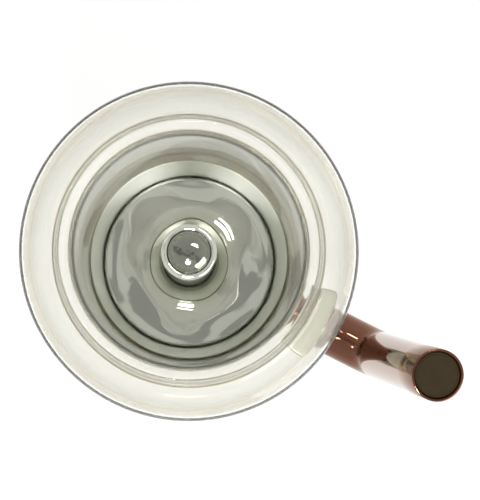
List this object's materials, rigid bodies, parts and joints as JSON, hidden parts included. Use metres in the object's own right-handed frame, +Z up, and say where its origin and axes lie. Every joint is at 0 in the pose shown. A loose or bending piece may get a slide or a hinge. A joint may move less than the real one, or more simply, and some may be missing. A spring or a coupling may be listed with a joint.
{
  "type": "milk frother",
  "caption": "Milk frother: double-walled glass jug with a copper-coloured tube handle and a magnetic whisk, on a low round heater and drive base.",
  "frame": {"origin": "centre of the base plate's underside, under the jug's axis; the rubber feet stand out 2 mm below it", "axes": "+Z up along the jug's axis, +X towards the tube handle, -Y towards the start button, +Y towards the power inlet"},
  "size_m": [0.1522, 0.11, 0.1732],
  "materials": {
    "bronze": "bronze-toned coating on steel, semi-gloss",
    "copper": "dark copper-coloured metal, polished",
    "polished_steel": "mirror-polished stainless steel",
    "brushed_steel": "fine brushed stainless steel",
    "glass": "clear borosilicate glass with a faint warm tint",
    "dark_plastic": "dark brown moulded plastic",
    "black_plastic": "fine-textured black plastic",
    "grey_plastic": "satin grey moulded plastic",
    "foot_rubber": "matt rubber",
    "silicone": "translucent grey silicone",
    "magnet": "nickel-plated magnet",
    "winding": "enamelled copper wire",
    "circuit_board": "green solder mask on glass-fibre board",
    "mica": "pale mica sheet",
    "brass": "plain brass"
  },
  "bodies": {
    "base": {"base_shell": "bronze", "base_plate": "black_plastic", "base_foot_1": "foot_rubber", "base_foot_2": "foot_rubber", "base_foot_3": "foot_rubber", "base_foot_4": "foot_rubber", "base_screw_1": "brushed_steel", "base_screw_2": "brushed_steel", "base_screw_3": "brushed_steel", "hot_plate": "brushed_steel", "hot_plate_seal": "silicone", "mica_card": "mica", "heater_coil": "winding", "temperature_sensor": "brass", "chassis": "grey_plastic", "motor_can": "brushed_steel", "motor_end_cap": "black_plastic", "field_magnet": "magnet", "control_board": "circuit_board", "board_post_1": "brass", "board_post_2": "brass", "board_post_3": "brass", "filter_capacitor": "black_plastic", "heater_relay": "black_plastic", "power_supply": "brass", "button_bezel": "polished_steel", "button_spring": "polished_steel", "button_switch": "black_plastic", "button_board": "circuit_board", "power_inlet": "black_plastic", "inlet_pin_1": "brass", "inlet_pin_2": "brass"},
    "drive": {"motor_shaft": "polished_steel", "motor_armature": "winding", "drive_disc": "grey_plastic", "drive_magnet_1": "magnet", "drive_magnet_2": "magnet"},
    "button": {"power_button": "dark_plastic"},
    "jug": {"jug_collar": "bronze", "milk_pan": "polished_steel", "inner_foot_seal": "silicone", "outer_foot_seal": "silicone", "outer_glass": "glass", "inner_glass": "glass", "handle_bracket": "brushed_steel", "bracket_screw_1": "polished_steel", "bracket_screw_2": "polished_steel", "handle_tube": "copper", "handle_grub_screw": "black_plastic", "handle_end_cap": "dark_plastic", "whisk_spindle": "polished_steel"},
    "whisk_sleeve": {"whisk_bush": "grey_plastic"},
    "whisk": {"whisk_bell": "polished_steel", "whisk_knob": "polished_steel", "whisk_core": "grey_plastic", "froth_coil": "polished_steel", "whisk_magnet_1": "magnet", "whisk_magnet_2": "magnet"}
  },
  "joints": [
    {"name": "jug_lift", "type": "slide", "parent": "base", "child": "jug", "axis": [0, 0, 1], "range_m": [0, 0.05]},
    {"name": "whisk_lift", "type": "slide", "parent": "jug", "child": "whisk_sleeve", "axis": [0, 0, 1], "range_m": [0, 0.14]},
    {"name": "whisk_spin", "type": "hinge", "parent": "whisk_sleeve", "child": "whisk", "pos_m": [0, 0, 0.06], "axis": [0, 0, 1], "continuous": true},
    {"name": "motor_spin", "type": "hinge", "parent": "base", "child": "drive", "pos_m": [0, 0, 0.02], "axis": [0, 0, 1], "continuous": true},
    {"name": "button_press", "type": "slide", "parent": "base", "child": "button", "axis": [0, 1, 0], "range_m": [0, 0.0015], "stiffness_N_per_m": 400, "deforming": ["button_spring"]}
  ],
  "couplings": [
    {"joint": "motor_spin", "follows": "whisk_spin", "ratio": 1}
  ]
}
